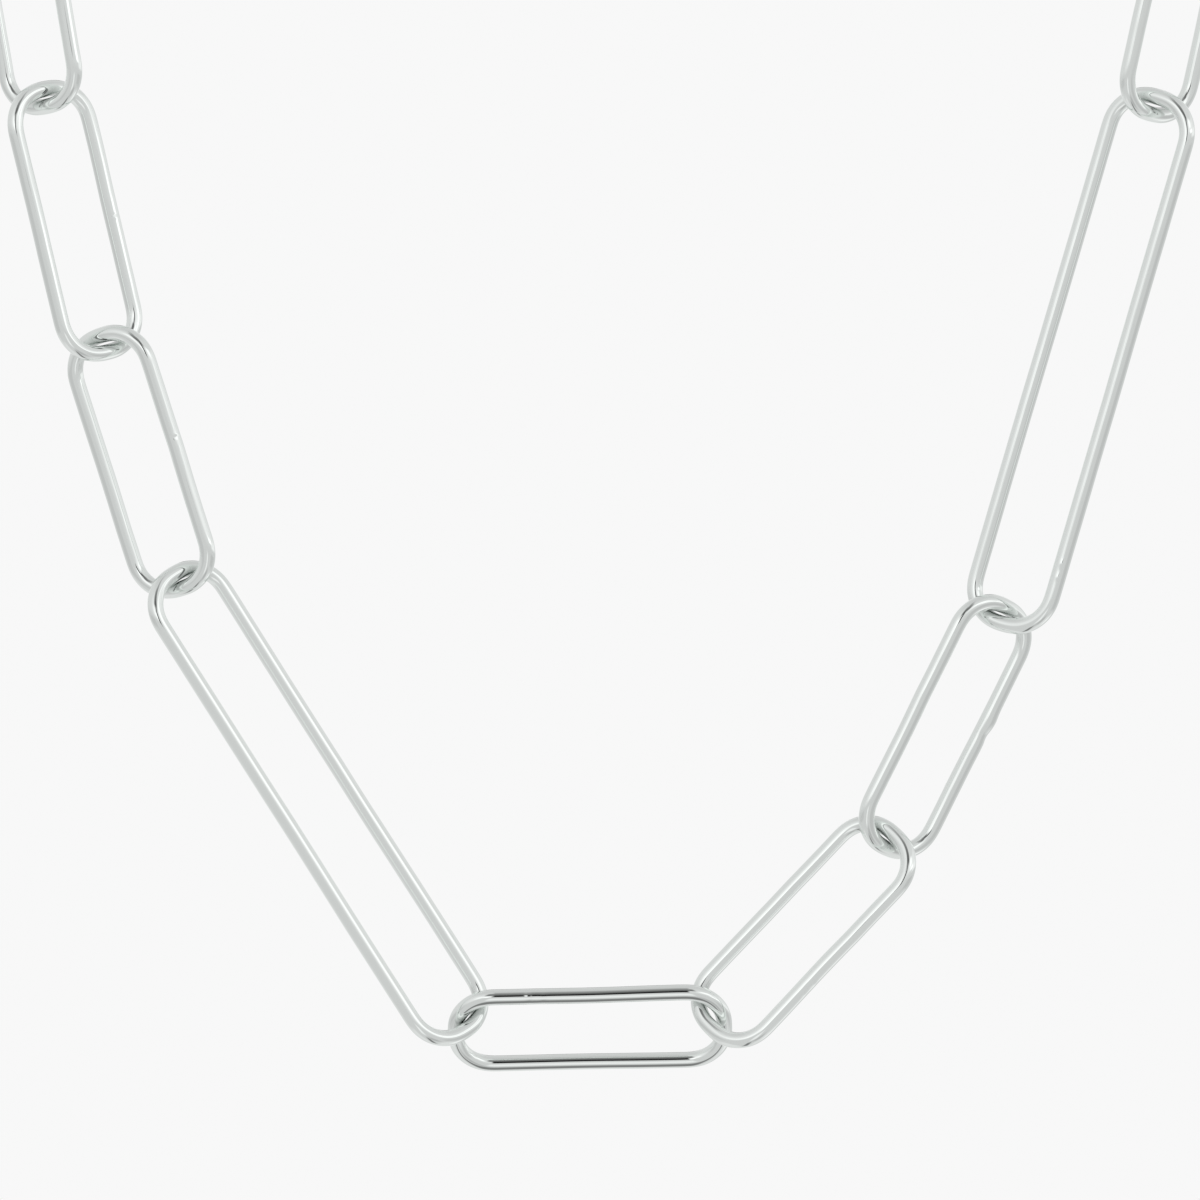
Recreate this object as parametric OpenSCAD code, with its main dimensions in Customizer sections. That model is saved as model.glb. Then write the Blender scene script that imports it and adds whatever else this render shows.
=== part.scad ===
// Paperclip chain necklace: long and short links of round wire, worn closed.
// X points to the viewer's right, Y to the back and Z up. The origin is at the nape,
// where the chain hangs. The front links hang in one upright plane and face -Y.

/* [Links] */
// Diameter of the link wire
wire_d = 1.0; // [0.9:0.05:1.05]
// Outer width of every link
link_w = 6.2; // [6:0.1:6.6]
// Outer length of a short link
short_l = 17.85; // [17.7:0.05:18]
// Outer length of a long link
long_l = 35.3; // [35.1:0.05:35.5]
// Radius of a link's corner bends, on the wire's centre line
bend_r = 2.3; // [2:0.05:2.4]
// Gap between the wires of two linked crowns
link_gap = 0.15; // [0.12:0.01:0.2]

/* [Hang] */
// How far the front plane lies before the nape
front_depth = 94.5; // [90:0.5:100]
// How far the left end of the lowest link hangs under the nape
front_drop = 124.7; // [120:0.1:130]
// Where that end lies, left of the middle
front_left = 8.46; // [6:0.02:10]
// Sideways step of a joint for each unit of the sine of its bend
joint_step = 1.5; // [1.45:0.01:1.6]
// Roll of the links behind the front, about their own length
back_roll = 45; // [43:1:47]

/* [Clasp] */
// Thickness of the clasp's hook
hook_d = 1.5; // [1.3:0.1:1.6]
// Outer width of the clasp's hook
hook_w = 5.8; // [5.4:0.1:6.2]
// Straight length across each end of the hook
hook_flat = 0.6; // [0.4:0.1:0.8]
// Diameter of the eye's wire
eye_d = 1.0; // [0.9:0.05:1.1]
// Outer diameter of the eye
eye_w = 4.2; // [4:0.1:4.6]
// Diameter of the thumb knob
knob_d = 1.7; // [1.4:0.1:2]

/* [Hidden] */
$fn = 32;
silver = [0.80, 0.81, 0.82];

// Links are numbered from the nape down the left side and up the right side again
LINKS = 22;
FRONT_FIRST = 7;
LOWEST = 11;
// Every fourth link is a long one, the first of them this one
LONG_FIRST = 2;
LONG_EVERY = 4;

// Front links: slope along the chain and roll about the link's length, in degrees, how
// much longer than its kind the link came out, and how far its far joint slides right and up
SLOPE = 0;
ROLL = 1;
TRIM = 2;
SLIDE_X = 3;
SLIDE_Z = 4;
front_links = [
    [-80.0, 32.0, 0.00, 0.07, 0.00],
    [-76.7, 29.1, 0.09, -0.02, 0.00],
    [-72.4, 24.8, -0.24, -0.09, -0.16],
    [-57.5, 30.6, -0.45, 0.35, -0.46],
    [1.25, 35.2, 0.00, 0.12, 0.28],
    [46.5, 22.1, -0.20, 0.03, 0.12],
    [63.5, 33.1, 0.00, 0.29, -0.04],
    [73.6, 20.6, 0.00, -0.15, 0.05],
    [77.5, 38.8, 0.00, 0.00, 0.00],
];
FRONT_LAST = FRONT_FIRST + len(front_links) - 1;

// Each side's way back to the nape: heading and climb at its ends, and how each eases
TURN_FROM = 0;
TURN_TO = 1;
TURN_EASE = 2;
CLIMB_FROM = 3;
CLIMB_EASE = 4;
left_run = [65, 156, 1.7, 77, 2];
right_run = [58, 174, 1.4, 80, 2.35];

link_names = [for (k = [1:LINKS]) str("link_", k < 10 ? "0" : "", k)];

function unit(v) = v / norm(v);
function is_long(k) = k % LONG_EVERY == LONG_FIRST;
function is_front(k) = k >= FRONT_FIRST && k <= FRONT_LAST;
function side(k) = k < FRONT_FIRST ? -1 : 1;

// Inner sides of odd links and outer sides of even links stand to the front
function lean(k) = k % 2 == 1 ? 1 : -1;

function front(k) = front_links[k - FRONT_FIRST];
function trim(k) = is_front(k) ? front(k)[TRIM] : 0;
function outer_length(k) = (is_long(k) ? long_l : short_l) + trim(k);
function pitch(k) = outer_length(k) - 2 * wire_d - link_gap;
function run_length(a, b) = a > b ? 0 : pitch(a) + run_length(a + 1, b);

// Share of the way back to the nape at the middle of link k
function share(k) = side(k) < 0
    ? (run_length(k + 1, FRONT_FIRST - 1) + pitch(k) / 2) / run_length(1, FRONT_FIRST - 1)
    : (run_length(FRONT_LAST + 1, k - 1) + pitch(k) / 2) / run_length(FRONT_LAST + 1, LINKS);

function run(k) = side(k) < 0 ? left_run : right_run;
function turn(k) = run(k)[TURN_FROM]
    + (run(k)[TURN_TO] - run(k)[TURN_FROM]) * pow(share(k), run(k)[TURN_EASE]);
function climb(k) = run(k)[CLIMB_FROM] * pow(1 - share(k), run(k)[CLIMB_EASE]);
function slope(k) = front(k)[SLOPE];

// Direction of link k along the chain, from its start to its end
function along(k) = is_front(k)
    ? [cos(slope(k)), 0, sin(slope(k))]
    : [cos(climb(k)) * cos(turn(k)),
       side(k) * cos(climb(k)) * sin(turn(k)),
       side(k) * sin(climb(k))];

// Outward direction of link k's face, square to its length
function outward(k) = [side(k) * sin(180 * share(k)), -cos(180 * share(k)), 0];
function square_to(v, u) = unit(v - (v * u) * u);
function face(k) = is_front(k) ? [0, -1, 0] : square_to(outward(k), along(k));

function roll(k) = lean(k) * (is_front(k) ? front(k)[ROLL] : back_roll);

// A joint in the front slides along the crowns, and where it is bent it also steps along
// the face, so that both wires clear
function bend(k) = norm(cross(along(k), along(k + 1)));
function slide(k) = [front(k)[SLIDE_X], 0, front(k)[SLIDE_Z]];
function step(k) = is_front(k) && is_front(k + 1)
    ? lean(k) * joint_step * bend(k) * face(k) + slide(k)
    : [0, 0, 0];

// Start of link k, between its own crown and its neighbour's
function start(k) = k == LOWEST ? [-front_left, -front_depth, -front_drop]
    : k > LOWEST ? start(k - 1) + along(k - 1) * pitch(k - 1) + step(k - 1)
    : start(k + 1) - step(k) - along(k) * pitch(k);

// Frame with X along u and Y across it, turned by a roll from the face direction n
function across(u, n, a) = cos(a) * cross(n, u) + sin(a) * n;
function frame(p, u, w) = [
    for (i = [0:2]) [u[i], w[i], cross(u, w)[i], p[i]],
    [0, 0, 0, 1]
];

// The clasp closes the loop from the end of the last link to the start of the first
clasp_from = start(LINKS) + along(LINKS) * pitch(LINKS);
clasp_to = start(1);
clasp_l = norm(clasp_to - clasp_from);
clasp_u = unit(clasp_to - clasp_from);
clasp_face = square_to([0, 1, 0], clasp_u);

// Closed loop of round wire in the XY plane: straight sides, straight ends, four bends
module wire_loop(length, width, wire, bend) {
    x = (length - wire) / 2 - bend;
    y = (width - wire) / 2 - bend;
    for (corner = [[x, y, 0], [-x, y, 90], [-x, -y, 180], [x, -y, 270]])
        translate([corner[0], corner[1], 0])
            rotate([0, 0, corner[2]])
                rotate_extrude(angle = 90)
                    translate([bend, 0])
                        circle(d = wire);
    for (s = [-1, 1]) {
        translate([0, s * (y + bend), 0])
            rotate([0, 90, 0])
                cylinder(h = 2 * x, d = wire, center = true);
        translate([s * (x + bend), 0, 0])
            rotate([90, 0, 0])
                cylinder(h = 2 * y, d = wire, center = true);
    }
}

module chain_link(k) {
    middle = start(k) + along(k) * pitch(k) / 2;
    color(silver)
        multmatrix(frame(middle, along(k), across(along(k), face(k), roll(k))))
            wire_loop(outer_length(k), link_w, wire_d, bend_r);
}

// The eye takes the last link and the hook the first, each square to its link
module clasp() {
    eye_r = (eye_w - eye_d) / 2;
    eye_x = eye_r - (eye_d + link_gap) / 2;
    hook_from = eye_x + eye_r - hook_d / 2;
    hook_reach = clasp_l + hook_d + link_gap / 2 - hook_from;
    hook_l = round(hook_reach * 10) / 10;
    hook_bend = (hook_w - hook_d) / 2 - hook_flat / 2;
    color(silver) {
        multmatrix(frame(clasp_from, clasp_u, across(clasp_u, clasp_face, back_roll)))
            translate([eye_x, 0, 0])
                rotate_extrude()
                    translate([eye_r, 0])
                        circle(d = eye_d);
        multmatrix(frame(clasp_from, clasp_u, across(clasp_u, clasp_face, -back_roll)))
            translate([hook_from + hook_l / 2, 0, 0]) {
                wire_loop(hook_l, hook_w, hook_d, hook_bend);
                translate([-hook_w / 4, hook_w / 2, 0])
                    sphere(d = knob_d);
            }
    }
}

for (k = [1:LINKS])
    chain_link(k);
clasp();
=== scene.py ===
"""Looks of the paperclip chain necklace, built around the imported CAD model.

Wires are worked out in millimetres and built in metres, in the frame of the CAD.
"""

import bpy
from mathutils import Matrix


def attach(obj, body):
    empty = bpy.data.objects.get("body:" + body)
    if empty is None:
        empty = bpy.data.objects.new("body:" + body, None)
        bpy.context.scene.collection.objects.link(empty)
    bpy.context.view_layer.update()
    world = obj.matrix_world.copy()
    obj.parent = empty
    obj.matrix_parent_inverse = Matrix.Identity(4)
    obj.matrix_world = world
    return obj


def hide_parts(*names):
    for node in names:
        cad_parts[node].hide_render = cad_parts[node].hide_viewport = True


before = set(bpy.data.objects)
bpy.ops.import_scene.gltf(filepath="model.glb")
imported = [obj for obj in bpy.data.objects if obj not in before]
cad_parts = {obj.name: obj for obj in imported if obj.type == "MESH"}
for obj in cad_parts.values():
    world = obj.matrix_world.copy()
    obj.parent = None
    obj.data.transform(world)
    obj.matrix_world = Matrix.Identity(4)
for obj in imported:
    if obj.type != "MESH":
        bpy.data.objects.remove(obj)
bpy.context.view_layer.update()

import math
from collections import namedtuple

import bpy
import numpy as np

MM = 0.001
TINY = 1e-12
LINKS = [f"link_{k:02d}" for k in range(1, 23)]

# Shape of the links and of the clasp, in millimetres, as part.scad has them
BEND_R = 2.3
LINK_GAP = 0.15
HOOK_D = 1.5
HOOK_W = 5.8
HOOK_FLAT = 0.6
EYE_D = 1.0
EYE_W = 4.2
KNOB_D = 1.7
CLASP_ROLL = math.radians(45)

# Places worked out from those sizes, along the clasp from the last link
EYE_R = (EYE_W - EYE_D) / 2
EYE_X = EYE_R - (EYE_D + LINK_GAP) / 2
HOOK_FROM = EYE_X + EYE_R - HOOK_D / 2
HOOK_BEND = (HOOK_W - HOOK_D) / 2 - HOOK_FLAT / 2

# Links within this reach of the front plane face the camera, and the others face away from the neck
FRONT_Y = -94.5
FRONT_REACH = 12
NECK_Y = -45
# A point that the inner side of every link faces
INNER_AIM = np.array([0.0, FRONT_Y, -50.0])

# Wires: even steps in which a loop's line is worked out, and how softly its curvature changes
FINE_STEP = 0.02
SOFTNESS = 0.3
# Spacing of the rings on straight wire, the turn that asks for one ring more, and the sides of a ring
LINK_SPACING = 0.42
HOOK_SPACING = 0.12
JOINT_SPACING = 0.15
RING_TURN = math.radians(5)
LINK_SIDES = 32
CLASP_SIDES = 40
# At a seam there are this many more rings to a millimetre, and they thin out over this length
SEAM_RINGS = 20
SEAM_FADE = 0.7

# Waves of a hand-finished link, each with its times round the loop and its height: bow of the strands
# towards the inside, twist out of the plane, and waves in the wire's radius
BOW = [(2, 0.02), (3, 0.014), (5, 0.006)]
TWIST = [(2, 0.03), (3, 0.015), (6, 0.005)]
SKIN = [(9, 0.0015), (17, 0.0012), (31, 0.0008)]
FIRST_SEED = 40
# How much larger the wire's radius is than the solid's
WIRE_OVER = 0.006
# Length of wire to one unit of UV
UV_UNIT = 10

# Painted shade in the joints, which darkens the silver's colour where links cross: how far it reaches from
# the other wire, and how much it darkens
PAINTED_SHADE_REACH = 0.4
PAINTED_SHADE_DARKNESS = 0.36

# Clasp lever: one side of the hook, slimmer than the body, with a fine gap at each end
LEVER_FROM = 0.6
LEVER_FADE = 0.25
LEVER_SLIM = 0.1
LEVER_ENDS = (-0.33, 0.24)
LEVER_GAP = 0.09
LEVER_GAP_DEPTH = 0.16
# Pin of the lever: its place as a share of the hook's length, its radius, and how proud it stands
PIN_AT = 0.30
PIN_R = 0.36
PIN_PROUD = 0.07
# Thumb knob: its radius across and along its axis, as shares of the solid's
KNOB_ACROSS = 0.98
KNOB_ALONG = 0.9
# Fineness of the eye, of the beads that make the knob and the pin, and of the fused body
EYE_RINGS = 120
BEAD_ROWS = 20
BEAD_SIDES = 32
FUSE_VOXEL = 0.075

# Solder seams: strand, share of the way from the link's start, kind of mark, and degrees that
# the mark is turned to the right of the front
INNER = 1
OUTER = -1
SEAMS = {
    "link_08": (INNER, 0.507, "scar", 30),
    "link_09": (INNER, 0.45, "pit", 24),
    "link_10": (INNER, 0.955, "scar", 0),
    "link_11": (INNER, 0.30, "beads", 5),
    "link_13": (OUTER, 0.555, "notch", 78),
    "link_14": (OUTER, 0.121, "beads", -20),
}
SEAM_ELSEWHERE = [(OUTER, 0.5, "scar", 20), (INNER, 0.62, "pit", -30), (OUTER, 0.36, "beads", 40)]

# Each kind of mark is made of bumps: height, place and reach along the wire in millimetres, and
# place and reach around it in radians
MARKS = {
    "scar": [(-0.006, 0.0, 0.09, 0.0, 0.6), (0.006, -0.2, 0.12, 0.1, 0.45)],
    "pit": [(-0.024, 0.0, 0.11, 0.0, 0.26), (0.008, 0.2, 0.12, 0.3, 0.4)],
    "beads": [
        (0.010, -0.45, 0.17, -0.05, 0.4),
        (0.013, 0.45, 0.19, 0.05, 0.45),
        (-0.004, 0.0, 0.2, 0.0, 0.8),
    ],
    "notch": [(0.06, 0.7, 0.55, 0.0, 0.9), (-0.07, -0.3, 0.4, 0.0, 1.0)],
}

# Brightness of the backdrop as the camera sees it, and of what the silver reflects: the backdrop
# behind the chain, the table and its lit edge under the camera, the walls and the dark gaps
PLAIN = 0.938
BACKDROP = 0.95
TABLE = 0.615
TABLE_EDGE = 0.84
WALL = 0.68
SIDE_WALL = 0.73
CEILING = 0.60
GAP_BELOW = 0.20
GAP_BEHIND = 0.3
# The gap above the camera is black up to this elevation and gets paler from there by so much a degree
GAP_BLACK_TO = 17.0
GAP_PALER = 0.0082

# Where those lie. A window of degrees opens between its first two values and closes between its last
# two, and a pair is where something starts and where it is full. Pairs of less than 1 are a direction's
# own x or y, and the others are degrees.
WALL_RISE = (-5, 9)
CEILING_RISE = (42, 70)
SIDE_WALL_FROM = (50, 72)
SIDE_WALL_WINDOW = (-82, -72, -52, -38)
TABLE_EDGE_SIDES = (0.17, 0.08)
TABLE_EDGE_WINDOW = (-46, -34, -17, -8)
STRIP_X = 0.008
STRIP_SIDES = (0.115, 0.055)
STRIP_WINDOW = (2.5, 7, 60, 84)
STRIP_IN_FRONT = (0.1, -0.1)
WIDE_SIDES = (24, 12)
WIDE_WINDOW = (23, 31, 48, 60)
BELOW_SIDES = (0.12, 0.05)
BELOW_WINDOW = (50, 66, 90, 112)
BACKDROP_FROM = (0.74, 0.99)
BEHIND_SIDES = (0.14, 0.07)
BEHIND_WINDOW = (3, 8, 24, 40)
BEHIND_FROM = (0.2, 0.4)

# Patches of the room that the silver reflects, laid over each other in this order. Azimuth is 0 towards
# the camera and 90 to the right, elevation is 90 overhead, both in degrees. A box has a window of each.
# A spot has its middle and the distances from it at which it starts and ends to fade. The last value
# is the brightness.
PATCHES = [
    # Wall and floor below eye level, behind on the left and at both sides
    ("spot", (-130, -34), (8, 28), 0.72),
    ("box", (40, 56, 96, 112), (-37, -28, -14, -7), 0.52),
    ("box", (-118, -98, -56, -42), (-28, -20, -10, -4), 0.54),
    # Shade low in front and a low light on the right
    ("spot", (26, -50), (4, 20), 0.45),
    ("spot", (112, -47), (4, 18), 0.90),
    # Right soft box: its glow on the walls, then its face
    ("box", (66, 88, 118, 136), (8, 14, 26, 36), 0.77),
    ("box", (12, 26, 80, 98), (8, 13, 22, 34), 0.84),
    ("box", (60, 80, 118, 136), (-3, 3, 9, 14), 0.88),
    ("box", (21, 35, 50, 66), (14, 21, 27, 35), 1.07),
    ("box", (40, 52, 70, 84), (6.5, 9.5, 12.5, 15.5), 1.14),
    # Left soft box: its glow, its face and the bright middle
    ("spot", (-38, 22), (5, 30), 0.79),
    ("spot", (-26, 17), (5, 15), 0.98),
    ("spot", (-11.5, 11), (3, 9.5), 1.12),
]

# Round floor under the chain, and the camera: its distance from the front plane, its height, and
# the width of the front plane that it shows, all in metres
FLOOR_R = 0.8
FLOOR_STEPS = 96
FLOOR_Z = -0.18
VIEW_AWAY = 1.0
VIEW_Z = -0.09775
VIEW_WIDTH = 0.075
SENSOR = 36.0


def unit(v):
    return v / np.linalg.norm(v)


def unit_rows(rows):
    return rows / np.linalg.norm(rows, axis=1)[:, None]


def wrap(value, period):
    """The value moved by whole periods to lie about 0."""
    return (value + period / 2) % period - period / 2


def bump_at(d, at, reach):
    return np.exp(-((d - at) / reach) ** 2)


def ring_angles(count):
    return 2 * math.pi * np.arange(count) / count


# Frames of the CAD nodes

Frame = namedtuple("Frame", "centre along inner face size")


def surface_frame(node):
    """Centre of a node's surface, its directions of length, width and thickness, and its sizes."""
    mesh = node.data
    mesh.calc_loop_triangles()
    co = np.array([v.co for v in mesh.vertices], float) / MM
    a, b, c = (co[[t.vertices[i] for t in mesh.loop_triangles]] for i in range(3))
    area = np.linalg.norm(np.cross(b - a, c - a), axis=1) / 2
    mid = (a + b + c) / 3
    centre = (mid * area[:, None]).sum(0) / area.sum()
    # The corners and, nine times as heavy, the middle of each triangle give its exact second moments
    moment = np.zeros((3, 3))
    for p, weight in ((a, 1), (b, 1), (c, 1), (mid, 9)):
        q = p - centre
        moment += (q * (area * weight)[:, None]).T @ q
    axes = np.linalg.eigh(moment)[1][:, ::-1].T
    reach = (co - centre) @ axes.T
    return centre, axes, reach.max(0) - reach.min(0)


def link_frames():
    """Frame of each link: its centre, its directions along, inwards and off its face, and its sizes."""
    raw = [surface_frame(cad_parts[name]) for name in LINKS]
    centres = [r[0] for r in raw]
    frames = []
    for i, (centre, axes, size) in enumerate(raw):
        onwards = centres[(i + 1) % len(raw)] - centres[i - 1]
        along = unit(axes[0] * np.sign(axes[0] @ onwards))
        inner = axes[1] * np.sign(axes[1] @ (INNER_AIM - centre))
        inner = unit(inner - along * (along @ inner))
        frames.append(Frame(centre, along, inner, np.cross(along, inner), size))
    return frames


def facing(centre):
    """Direction from which a link is looked at."""
    if abs(centre[1] - FRONT_Y) < FRONT_REACH:
        return np.array([0.0, -1.0, 0.0])
    return unit(np.array([centre[0], centre[1] - NECK_Y, 0.0]))


# Swept wire

def outline(length, width, bend):
    """Points of a closed rounded rectangle at even steps, from the start of the side at +y towards -x."""
    x = length / 2 - bend
    y = width / 2 - bend
    straights = [
        ((x, width / 2), (-x, width / 2)),
        ((-length / 2, y), (-length / 2, -y)),
        ((-x, -width / 2), (x, -width / 2)),
        ((length / 2, -y), (length / 2, y)),
    ]
    bends = [((-x, y), 90), ((-x, -y), 180), ((x, -y), 270), ((x, y), 0)]
    points = []
    for (start, end), (middle, first) in zip(straights, bends):
        count = max(1, round(math.dist(start, end) / FINE_STEP))
        share = np.arange(count)[:, None] / count
        points.append(np.array(start) * (1 - share) + np.array(end) * share)
        count = round(bend * math.pi / 2 / FINE_STEP)
        angle = np.radians(first + 90 * np.arange(count) / count)
        points.append(np.array(middle) + bend * np.column_stack([np.cos(angle), np.sin(angle)]))
    return np.concatenate(points)


def soften(points):
    """The closed line with its curvature changing over the length SOFTNESS."""
    frequency = np.fft.fftfreq(len(points), FINE_STEP)
    blur = np.exp(-2 * (math.pi * frequency * SOFTNESS) ** 2)[:, None]
    return np.fft.ifft(np.fft.fft(points, axis=0) * blur, axis=0).real


def turning(points):
    """Turn at each point of a closed line, in radians."""
    step = np.roll(points, -1, 0) - points
    following = np.roll(step, -1, 0)
    cross = step[:, 0] * following[:, 1] - step[:, 1] * following[:, 0]
    return np.abs(cross) / (np.linalg.norm(step, axis=1) ** 2 + TINY)


def loop_line(length, width, bend, spacing, close_at=()):
    """Closed rounded rectangle: stations s of its rings, points (x, y) at them, and the whole way round.

    It starts in the middle of the side at +y and runs towards -x. Its rings stand closer in the bends and
    at the stations close_at.
    """
    fine = soften(outline(length, width, bend))
    fine = np.roll(fine, -round((length / 2 - bend) / FINE_STEP), axis=0)
    grid = np.arange(len(fine) + 1) * FINE_STEP
    way = len(fine) * FINE_STEP
    density = 1 / spacing + turning(fine) / FINE_STEP / RING_TURN
    for station in close_at:
        density += SEAM_RINGS * bump_at(wrap(grid[:-1] - station, way), 0, SEAM_FADE)
    total = np.concatenate([[0], np.cumsum(density * FINE_STEP)])
    count = int(round(total[-1]))
    s = np.interp(np.arange(count) * total[-1] / count, total, grid)
    closed = np.vstack([fine, fine[:1]])
    return s, np.column_stack([np.interp(s, grid, closed[:, i]) for i in range(2)]), way


def tube(points, normal, radius):
    """Vertices and faces of a closed tube. radius has a row for each point and a column for each side.

    The first side of each ring points into the loop, and the side a quarter on points along the normal.
    """
    count, sides = radius.shape
    ahead = np.roll(points, -1, 0) - points
    back = points - np.roll(points, 1, 0)
    ahead_l, back_l = (np.linalg.norm(v, axis=1)[:, None] for v in (ahead, back))
    tangent = unit_rows(ahead / ahead_l * back_l + back / back_l * ahead_l)
    up = unit_rows(normal - tangent * (tangent @ normal)[:, None])
    into = np.cross(up, tangent)
    angle = ring_angles(sides)[None, :, None]
    ring = into[:, None, :] * np.cos(angle) + up[:, None, :] * np.sin(angle)
    verts = (points[:, None, :] + ring * radius[:, :, None]).reshape(-1, 3)
    i, j = np.meshgrid(np.arange(count), np.arange(sides), indexing="ij")
    i2, j2 = (i + 1) % count, (j + 1) % sides
    faces = [i * sides + j, i * sides + j2, i2 * sides + j2, i2 * sides + j]
    return verts, np.stack(faces, -1).reshape(-1, 4)


def mesh_object(name, verts, faces):
    mesh = bpy.data.meshes.new(name)
    mesh.from_pydata(verts, [], faces)
    obj = bpy.data.objects.new(name, mesh)
    bpy.context.scene.collection.objects.link(obj)
    return obj


# Links

def ripple(rng, s, way, waves):
    """Smooth closed random line, the sum of the waves."""
    out = np.zeros_like(s)
    for times, height in waves:
        out += height * np.sin(2 * math.pi * (times * s / way + rng.random()))
    return out


def placed(line, where):
    """Points of a link's own line, put in the frame of the chain."""
    return where.centre + line[:, :1] * where.along + line[:, 1:] * where.inner


def centre_line(where):
    """Points on the middle of a link's wire."""
    length, width = where.size[:2] - where.size[2]
    return placed(loop_line(length, width, BEND_R, JOINT_SPACING)[1], where)


def joint_shade_weight(points, lines, wire):
    """Weight of the painted joint shade: how deep each point lies in a joint, 1 at another link's wire,
    and 0 from about 1 mm off it.
    """
    distances = [np.linalg.norm(points[:, None] - line[None], axis=2).min(axis=1) for line in lines]
    return bump_at(np.min(distances, axis=0), wire / 2, PAINTED_SHADE_REACH)


def seam_station(length, width, strand, share):
    """Way from the middle of the inner strand, through the link's start, to the seam."""
    straight = 2 * (length + width) - 8 * BEND_R
    way = straight + 2 * math.pi * BEND_R
    from_middle = (share - 0.5) * length
    return -from_middle % way if strand == INNER else way / 2 + from_middle


def seam_angle(where, strand, aim):
    """Angle around the wire at which a seam stands, counted as tube does."""
    front = facing(where.centre)
    right = np.cross(where.along, front)
    right = right * np.sign(right[0] + TINY)
    look = math.cos(math.radians(aim)) * front + math.sin(math.radians(aim)) * right
    return math.atan2(look @ where.face, look @ (-strand * where.inner))


def seam_shape(kind, along, around):
    """Change of the wire's radius at each distance along and angle around from the middle of a seam."""
    shape = np.zeros((len(along), len(around)))
    for height, place, reach, turn, spread in MARKS[kind]:
        shape += height * np.outer(bump_at(along, place, reach), bump_at(around, turn, spread))
    return shape


def wire_uv(s, way, wire, sides):
    """UV of each corner of a tube's faces: around the wire and along it."""
    stations = np.append(s, way)
    around = wire * math.pi * np.arange(sides + 1) / sides
    i, j = np.meshgrid(np.arange(len(s)), np.arange(sides), indexing="ij")
    corners = [(i, j), (i, j + 1), (i + 1, j + 1), (i + 1, j)]
    uv = np.stack([np.stack([around[q], stations[p]], -1) for p, q in corners], 2)
    return uv.reshape(-1) / UV_UNIT


def make_link(index, where, neighbours):
    """One link: a closed wire with slight waves, a solder seam and a value for the painted shade in its
    joints.
    """
    name = LINKS[index]
    rng = np.random.default_rng(FIRST_SEED + index)
    strand, share, kind, aim = SEAMS.get(name, SEAM_ELSEWHERE[index % len(SEAM_ELSEWHERE)])
    wire = where.size[2]
    length, width = where.size[:2] - wire
    seam_s = seam_station(length, width, strand, share)
    s, line, way = loop_line(length, width, BEND_R, LINK_SPACING, [seam_s])

    bow = ripple(rng, s, way, BOW)
    twist = ripple(rng, s, way, TWIST)
    inwards = -line / (np.linalg.norm(line, axis=1)[:, None] + TINY)
    points = placed(line + inwards * np.abs(bow)[:, None], where) + twist[:, None] * where.face

    radius = wire / 2 + WIRE_OVER + ripple(rng, s, way, SKIN)
    along = wrap(s - seam_s, way)
    around = wrap(ring_angles(LINK_SIDES) - seam_angle(where, strand, aim), 2 * math.pi)
    verts, faces = tube(points, where.face, radius[:, None] + seam_shape(kind, along, around))

    obj = mesh_object("wire_" + name, (verts * MM).tolist(), faces.tolist())
    mesh = obj.data
    mesh.validate()
    mesh.update()
    uv = wire_uv(s, way, wire, LINK_SIDES)
    mesh.uv_layers.new(name="wire").data.foreach_set("uv", uv.astype(np.float32))
    # Painted shade: weight for darkening the colour near the neighbouring links' wires
    joint_shade = joint_shade_weight(verts, [centre_line(other) for other in neighbours], wire)
    mesh.attributes.new("joint_shade", "FLOAT", "POINT").data.foreach_set("value", joint_shade.astype(np.float32))
    mesh.shade_smooth()
    mesh.materials.append(SILVER)
    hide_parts(name)
    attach(obj, "root")


# Clasp

def link_end(where, end):
    """Middle of the joint at a link's end: 1 for the end along the chain, -1 for the start."""
    return where.centre + end * where.along * (where.size[0] - 2 * where.size[2] - LINK_GAP) / 2


def eye(start, along, across, face):
    """The ring that takes the last link."""
    angle = ring_angles(EYE_RINGS)
    x = EYE_X + EYE_R * np.cos(angle)
    y = EYE_R * np.sin(angle)
    points = start + along * x[:, None] + across * y[:, None]
    return tube(points, face, np.full((EYE_RINGS, CLASP_SIDES), EYE_D / 2))


def hook(middle, length, along, across, face):
    """The hook's loop, with the lever on its side towards across."""
    line = loop_line(length - HOOK_D, HOOK_W - HOOK_D, HOOK_BEND, HOOK_SPACING)[1]
    lever = 1 / (1 + np.exp(-(line[:, 1] - LEVER_FROM) / LEVER_FADE))
    radius = HOOK_D / 2 - LEVER_SLIM * lever
    for share in LEVER_ENDS:
        radius -= LEVER_GAP_DEPTH * bump_at(line[:, 0], share * length, LEVER_GAP) * (line[:, 1] > 0)
    points = middle + line[:, :1] * along + line[:, 1:] * across
    return tube(points, face, radius[:, None] * np.ones(CLASP_SIDES)[None, :])


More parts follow.
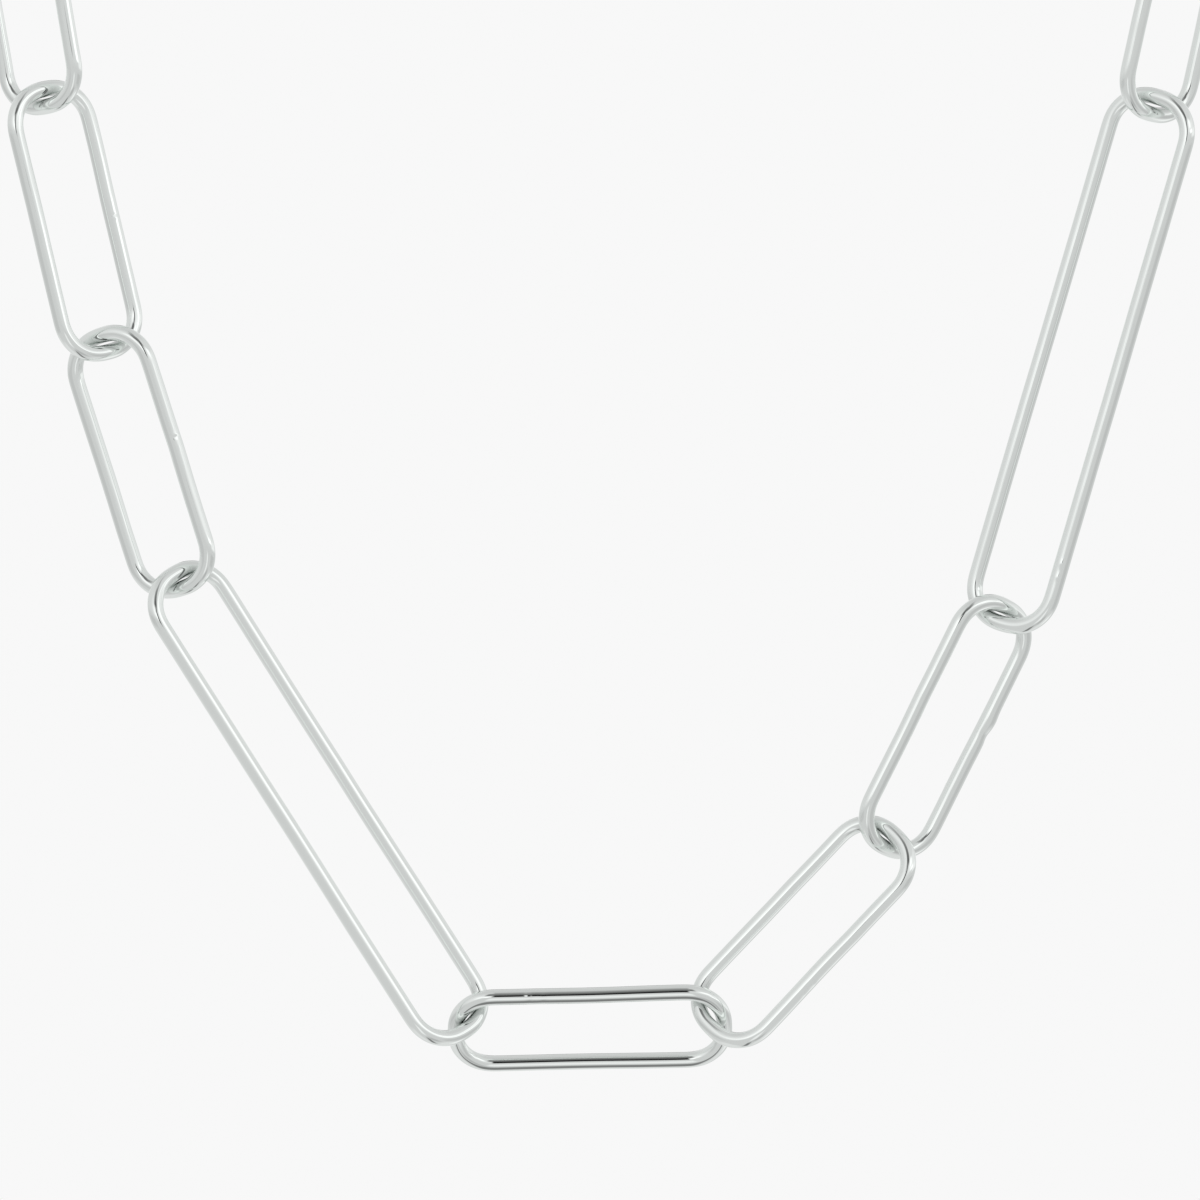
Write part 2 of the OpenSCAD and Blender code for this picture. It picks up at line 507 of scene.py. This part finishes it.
def bead(at, axis, across_r, along_r):
    """A closed ellipsoid of rings about an axis."""
    # Any direction but the axis, to find one across it
    slanted = [0.31, 0.5, 0.81]
    across = unit(np.cross(axis, slanted))
    side = np.cross(axis, across)
    verts = []
    for polar in math.pi * (np.arange(BEAD_ROWS) + 0.5) / BEAD_ROWS:
        for turn in ring_angles(BEAD_SIDES):
            outwards = across * math.cos(turn) + side * math.sin(turn)
            verts.append(at + axis * along_r * math.cos(polar) + across_r * math.sin(polar) * outwards)
    verts += [at + axis * along_r, at - axis * along_r]

    def corner(row, column):
        return row * BEAD_SIDES + column % BEAD_SIDES

    first_pole = BEAD_ROWS * BEAD_SIDES
    last_row = BEAD_ROWS - 1
    faces = [[corner(i, j), corner(i, j + 1), corner(i + 1, j + 1), corner(i + 1, j)]
             for i in range(last_row) for j in range(BEAD_SIDES)]
    faces += [[first_pole, corner(0, j + 1), corner(0, j)] for j in range(BEAD_SIDES)]
    faces += [[first_pole + 1, corner(last_row, j), corner(last_row, j + 1)] for j in range(BEAD_SIDES)]
    return verts, faces


def fuse(name, parts, middle):
    """One smooth body of closed parts that overlap, remeshed in millimetres about its middle."""
    verts = []
    faces = []
    for part_verts, part_faces in parts:
        faces += [[int(v) + len(verts) for v in face] for face in part_faces]
        verts += list(part_verts)
    obj = mesh_object(name, (np.array(verts) - middle).tolist(), faces)
    remesh = obj.modifiers.new("fuse", "REMESH")
    remesh.mode = "VOXEL"
    remesh.voxel_size = FUSE_VOXEL
    smooth = obj.modifiers.new("polish", "SMOOTH")
    smooth.factor = 0.5
    smooth.iterations = 5
    graph = bpy.context.evaluated_depsgraph_get()
    fused = bpy.data.meshes.new_from_object(obj.evaluated_get(graph))
    obj.modifiers.clear()
    obj.data = fused
    co = np.zeros(len(fused.vertices) * 3)
    fused.vertices.foreach_get("co", co)
    co = (co.reshape(-1, 3) + middle) * MM
    fused.vertices.foreach_set("co", co.reshape(-1))
    fused.update()
    fused.shade_smooth()
    return obj


def make_clasp(frames):
    """Eye, hook, lever, pin and thumb knob, fused into one piece between the last link and the first."""
    start = link_end(frames[-1], 1)
    stop = link_end(frames[0], -1)
    along = unit(stop - start)
    back = unit(np.array([0.0, 1.0, 0.0]) - along * along[1])
    side = np.cross(back, along)

    def rolled(roll):
        """Directions across a loop of the clasp and square to the loop, for its roll about the length."""
        across = math.cos(roll) * side + math.sin(roll) * back
        return across, np.cross(along, across)

    parts = [eye(start, along, *rolled(CLASP_ROLL))]
    across, face = rolled(-CLASP_ROLL)
    hook_reach = np.linalg.norm(stop - start) + HOOK_D + LINK_GAP / 2 - HOOK_FROM
    hook_l = round(hook_reach * 10) / 10
    middle = start + along * (HOOK_FROM + hook_l / 2)
    parts.append(hook(middle, hook_l, along, across, face))
    knob_at = middle - along * HOOK_W / 4 + across * (HOOK_W / 2)
    parts.append(bead(knob_at, across, KNOB_D / 2 * KNOB_ACROSS, KNOB_D / 2 * KNOB_ALONG))
    pin_at = middle + along * hook_l * PIN_AT + across * (HOOK_W - HOOK_D) / 2
    parts.append(bead(pin_at, face, PIN_R, HOOK_D / 2 + PIN_PROUD))

    obj = fuse("clasp_body", parts, middle)
    obj.data.materials.clear()
    obj.data.materials.append(CLASP_SILVER)
    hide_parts("clasp")
    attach(obj, "root")


# Materials

class Nodes:
    """Short ways to add nodes to a tree."""

    def __init__(self, tree):
        self.tree = tree
        tree.nodes.clear()

    def add(self, kind, inputs=None, **settings):
        node = self.tree.nodes.new(kind)
        for key, value in settings.items():
            setattr(node, key, value)
        for key, value in (inputs or {}).items():
            self.put(node.inputs[key], value)
        return node

    def put(self, socket, value):
        if isinstance(value, bpy.types.NodeSocket):
            self.tree.links.new(value, socket)
        else:
            socket.default_value = value

    def end(self, kind, shader):
        """The tree's output node, with the shader in it."""
        out = self.add(kind)
        self.tree.links.new(shader.outputs[0], out.inputs[0])

    def math(self, operation, *values):
        node = self.add("ShaderNodeMath", operation=operation)
        for socket, value in zip(node.inputs, values):
            self.put(socket, value)
        return node.outputs[0]

    def smooth(self, value, low, high):
        """0 below low and 1 above high, with a smooth step. With low above high it falls instead."""
        node = self.add("ShaderNodeMapRange", {"Value": value}, interpolation_type="SMOOTHSTEP")
        a, b, start, end = (low, high, 0.0, 1.0) if low < high else (high, low, 1.0, 0.0)
        for key, setting in (("From Min", a), ("From Max", b), ("To Min", start), ("To Max", end)):
            self.put(node.inputs[key], setting)
        return node.outputs[0]

    def mix(self, weight, a, b):
        """a where weight is 0, b where it is 1."""
        node = self.add("ShaderNodeMix", data_type="FLOAT")
        for socket, value in zip(node.inputs[:1] + node.inputs[2:4], (weight, a, b)):
            self.put(socket, value)
        return node.outputs[0]

    def product(self, *values):
        out = values[0]
        for value in values[1:]:
            out = self.math("MULTIPLY", out, value)
        return out

    def blend(self, a, a_share, b, b_share):
        return self.math("ADD", self.product(a, a_share), self.product(b, b_share))

    def noise(self, **inputs):
        return self.add("ShaderNodeTexNoise", inputs).outputs["Fac"]


def silver(name, colour, low, high, wired):
    """Polished silver with roughness from low to high, faint wear and soft cloudy patches.

    A wired one also has faint drawn lines along the wire, and painted shade that darkens its colour in the
    joints.
    """
    material = bpy.data.materials.new(name)
    material.use_nodes = True
    nodes = Nodes(material.node_tree)
    shader = nodes.add("ShaderNodeBsdfPrincipled", {"Base Color": (*colour, 1), "Metallic": 1.0})
    nodes.end("ShaderNodeOutputMaterial", shader)
    place = nodes.add("ShaderNodeTexCoord").outputs["Object"]
    cloud = nodes.noise(Vector=place, Scale=420.0, Detail=4.0, Roughness=0.6)
    grain = nodes.noise(Vector=place, Scale=5200.0, Detail=3.0, Roughness=0.65)
    wear = nodes.blend(cloud, 0.65, grain, 0.35)
    height = grain
    if wired:
        # Painted shade in the joints: the base colour is darkened near the neighbouring links
        joint_shade = nodes.add("ShaderNodeAttribute", attribute_name="joint_shade").outputs["Fac"]
        unshaded = nodes.math("SUBTRACT", 1.0, nodes.product(joint_shade, PAINTED_SHADE_DARKNESS))
        shaded_colour = nodes.add("ShaderNodeVectorMath", {"Vector": colour, "Scale": unshaded}, operation="SCALE")
        nodes.put(shader.inputs["Base Color"], shaded_colour.outputs[0])
        wire = nodes.add("ShaderNodeUVMap", uv_map="wire").outputs[0]
        stretch = nodes.add("ShaderNodeMapping", {"Vector": wire, "Scale": (90.0, 1.6, 1.0)}).outputs[0]
        drawn = nodes.noise(Vector=stretch, Scale=1.0, Detail=3.0)
        height = nodes.blend(grain, 0.5, drawn, 0.8)
        wear = nodes.blend(wear, 0.7, drawn, 0.3)
    rough = {"Value": wear, "From Min": 0.35, "From Max": 0.65, "To Min": low, "To Max": high}
    nodes.put(shader.inputs["Roughness"], nodes.add("ShaderNodeMapRange", rough).outputs[0])
    bump = nodes.add("ShaderNodeBump", {"Strength": 0.08, "Distance": 0.000004, "Height": height})
    nodes.put(shader.inputs["Normal"], bump.outputs[0])
    return material


def pale_floor():
    material = bpy.data.materials.new("pale_floor")
    material.use_nodes = True
    nodes = Nodes(material.node_tree)
    grain = nodes.noise(Scale=60.0, Detail=2.0)
    shade = nodes.add("ShaderNodeMapRange", {"Value": grain, "To Min": 0.930, "To Max": 0.942}).outputs[0]
    colour = nodes.add("ShaderNodeCombineColor", {0: shade, 1: shade, 2: shade}).outputs[0]
    nodes.end("ShaderNodeOutputMaterial", nodes.add("ShaderNodeBsdfDiffuse", {"Color": colour}))
    return material


# Studio

class Room(Nodes):
    """Brightness of the room in every direction, painted patch over patch."""

    def __init__(self, tree, brightness):
        super().__init__(tree)
        self.value = brightness
        self.ray = self.add("ShaderNodeTexCoord").outputs["Generated"]
        self.x, self.y, self.z = self.add("ShaderNodeSeparateXYZ", {"Vector": self.ray}).outputs
        self.to_front = self.math("MULTIPLY", self.y, -1.0)
        self.middle = self.math("ABSOLUTE", self.x)
        self.azimuth = self.angle("ARCTAN2", self.x, self.to_front)
        self.elevation = self.angle("ARCSINE", self.z)
        self.aside = self.math("ABSOLUTE", self.azimuth)

    def angle(self, operation, *values):
        return self.math("DEGREES", self.math(operation, *values))

    def window(self, value, opens, open_from, open_to, closes):
        """1 from open_from to open_to, and 0 before opens and after closes."""
        return self.product(self.smooth(value, opens, open_from), self.smooth(value, closes, open_to))

    def box(self, azimuths, elevations):
        upright = self.window(self.elevation, *elevations)
        return self.product(self.window(self.azimuth, *azimuths), upright)

    def spot(self, middle, fade):
        azimuth, elevation = (math.radians(angle) for angle in middle)
        level = math.cos(elevation)
        aim = (math.sin(azimuth) * level, -math.cos(azimuth) * level, math.sin(elevation))
        dot = self.add("ShaderNodeVectorMath", {0: self.ray, 1: aim}, operation="DOT_PRODUCT")
        off = self.angle("ARCCOSINE", self.math("MINIMUM", dot.outputs["Value"], 1.0))
        return self.smooth(off, fade[1], fade[0])

    def paint(self, weight, brightness):
        self.value = self.mix(weight, self.value, brightness)


def paint_walls(room):
    """Wall that rises behind the table, ceiling, and the low parts of the side walls."""
    room.paint(room.smooth(room.elevation, *WALL_RISE), WALL)
    room.paint(room.smooth(room.elevation, *CEILING_RISE), CEILING)
    low = room.window(room.elevation, *SIDE_WALL_WINDOW)
    room.paint(room.product(room.smooth(room.aside, *SIDE_WALL_FROM), low), SIDE_WALL)


def paint_camera_gap(room):
    """The dark gap with the camera in it, seen as a thin line, and the lit table edge under it."""
    edge = room.window(room.elevation, *TABLE_EDGE_WINDOW)
    room.paint(room.product(room.smooth(room.middle, *TABLE_EDGE_SIDES), edge), TABLE_EDGE)
    # The strip lies a little to the right, and higher up the gap is wider
    off_strip = room.math("ABSOLUTE", room.math("SUBTRACT", room.x, STRIP_X))
    upright = room.window(room.elevation, *STRIP_WINDOW)
    in_front = room.smooth(room.y, *STRIP_IN_FRONT)
    strip = room.product(room.smooth(off_strip, *STRIP_SIDES), upright, in_front)
    wide = room.product(room.smooth(room.aside, *WIDE_SIDES), room.window(room.elevation, *WIDE_WINDOW))
    shade = room.product(room.math("SUBTRACT", room.elevation, GAP_BLACK_TO), GAP_PALER)
    room.paint(room.math("MAXIMUM", strip, wide), room.math("MAXIMUM", shade, 0.0))
    # Degrees down from the camera, and on under the chain
    below = room.angle("ARCTAN2", room.math("MULTIPLY", room.z, -1.0), room.to_front)
    under = room.product(room.smooth(room.middle, *BELOW_SIDES), room.window(below, *BELOW_WINDOW))
    room.paint(under, GAP_BELOW)


def paint_behind(room):
    """The backdrop, and a second gap over it for the views from the back."""
    room.paint(room.smooth(room.y, *BACKDROP_FROM), BACKDROP)
    upright = room.window(room.elevation, *BEHIND_WINDOW)
    gap = room.product(room.smooth(room.middle, *BEHIND_SIDES), upright, room.smooth(room.y, *BEHIND_FROM))
    room.paint(gap, GAP_BEHIND)


def studio():
    """A white room with soft boxes left and right, seen only in reflections, and a plain backdrop."""
    world = bpy.data.worlds.new("studio")
    world.use_nodes = True
    bpy.context.scene.world = world
    room = Room(world.node_tree, TABLE)
    paint_walls(room)
    shapes = {"box": room.box, "spot": room.spot}
    for shape, first, second, brightness in PATCHES:
        room.paint(shapes[shape](first, second), brightness)
    paint_camera_gap(room)
    paint_behind(room)
    path = room.add("ShaderNodeLightPath").outputs
    lit = room.mix(path["Is Glossy Ray"], 1.0, room.value)
    lit = room.mix(path["Is Camera Ray"], lit, PLAIN)
    white = {"Color": (1, 1, 1, 1), "Strength": lit}
    room.end("ShaderNodeOutputWorld", room.add("ShaderNodeBackground", white))


def floor():
    """A round pale floor under the hanging chain, out of sight in the front view."""
    rim = [(FLOOR_R * math.cos(a), FLOOR_R * math.sin(a), 0) for a in ring_angles(FLOOR_STEPS)]
    faces = [(0, i + 1, (i + 1) % FLOOR_STEPS + 1) for i in range(FLOOR_STEPS)]
    obj = mesh_object("floor", [(0, 0, 0)] + rim, faces)
    obj.location = (0, 0, FLOOR_Z)
    obj.visible_glossy = False
    obj.data.materials.append(pale_floor())


def camera():
    """The photograph's view, from straight ahead of the front plane."""
    data = bpy.data.cameras.new("camera")
    data.sensor_width = SENSOR
    data.lens = SENSOR * VIEW_AWAY / VIEW_WIDTH
    data.clip_start = 0.01
    data.clip_end = 20.0
    data.dof.use_dof = False
    obj = bpy.data.objects.new("camera", data)
    obj.location = (0.0, FRONT_Y * MM - VIEW_AWAY, VIEW_Z)
    obj.rotation_euler = (math.pi / 2, 0.0, 0.0)
    bpy.context.scene.collection.objects.link(obj)
    bpy.context.scene.camera = obj


# The wires are drawn and polished, and the clasp is cast and a little duller
SILVER = silver("polished_silver", colour=(0.952, 0.985, 0.966), low=0.02, high=0.06, wired=True)
CLASP_SILVER = silver("cast_silver", colour=(0.94, 0.97, 0.955), low=0.08, high=0.16, wired=False)

FRAMES = link_frames()
for number, own_frame in enumerate(FRAMES):
    beside = FRAMES[max(number - 1, 0):number] + FRAMES[number + 1:number + 2]
    make_link(number, own_frame, beside)
make_clasp(FRAMES)
studio()
floor()
camera()
settings = bpy.context.scene.view_settings
settings.view_transform = "Standard"
settings.look = "None"
